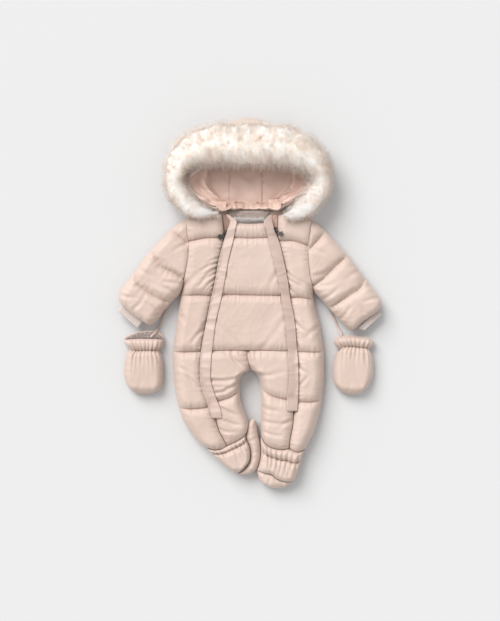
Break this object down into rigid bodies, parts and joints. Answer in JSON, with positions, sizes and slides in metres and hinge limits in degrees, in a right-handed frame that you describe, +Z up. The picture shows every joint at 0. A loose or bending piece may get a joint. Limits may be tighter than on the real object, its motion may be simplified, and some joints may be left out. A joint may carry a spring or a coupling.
{
  "type": "padded baby snowsuit",
  "caption": "Quilted one-piece snowsuit laid flat on its back, with fur-trimmed hood, zips under plackets, bootees and corded mittens.",
  "frame": {"origin": "middle of the suit's width and length, on the surface it lies on", "axes": "+X across the suit to the right as seen from above with the hood away from the viewer, +Y from the feet to the hood, +Z up from the surface"},
  "size_m": [0.596, 0.8392, 0.0998],
  "materials": {
    "shell_cloth": "smooth nylon with a soft sheen",
    "lining_satin": "satin",
    "fleece": "short pile",
    "fur": "long pile",
    "knitted_rib": "rib knit",
    "zip_tape": "woven tape with moulded teeth",
    "dark_metal": "dark plated"
  },
  "bodies": {
    "suit": {"front_left": "shell_cloth", "front_right": "shell_cloth", "front_centre": "shell_cloth", "inner_leg_left": "shell_cloth", "inner_leg_right": "shell_cloth", "back_left": "shell_cloth", "back_right": "shell_cloth", "sleeve_left": "shell_cloth", "sleeve_right": "shell_cloth", "cuff_left": "knitted_rib", "cuff_right": "knitted_rib", "zip_left": "zip_tape", "zip_right": "zip_tape", "zip_slider_left": "dark_metal", "zip_slider_right": "dark_metal", "placket_left": "shell_cloth", "placket_right": "shell_cloth", "back_neck_lining": "fleece", "front_neck_lining": "fleece", "hood_side_left": "shell_cloth", "hood_centre": "shell_cloth", "hood_side_right": "shell_cloth", "hood_lining_side_left": "lining_satin", "hood_lining_centre": "lining_satin", "hood_lining_side_right": "lining_satin", "hood_fur": "fur", "boot_sole_left": "shell_cloth", "boot_sole_right": "shell_cloth", "boot_band_left": "shell_cloth", "boot_band_right": "shell_cloth", "boot_vamp_left": "shell_cloth", "boot_vamp_right": "shell_cloth", "mitten_back_left": "shell_cloth", "mitten_back_right": "shell_cloth", "mitten_front_left": "shell_cloth", "mitten_front_right": "shell_cloth", "mitten_lining_left": "fleece", "mitten_cord_left": "shell_cloth", "mitten_cord_right": "shell_cloth"},
    "pull_left": {"zip_pull_left": "dark_metal"},
    "pull_right": {"zip_pull_right": "dark_metal"}
  },
  "joints": [
    {"name": "pull_left_hinge", "type": "hinge", "parent": "suit", "child": "pull_left", "pos_m": [-0.0572, 0.1525, 0.0446], "axis": [-0.6276, 0.7785, 0], "range_deg": [0, 75]},
    {"name": "pull_right_hinge", "type": "hinge", "parent": "suit", "child": "pull_right", "pos_m": [0.0626, 0.1594, 0.0492], "axis": [-0.6912, -0.7226, 0], "range_deg": [0, 75]}
  ]
}
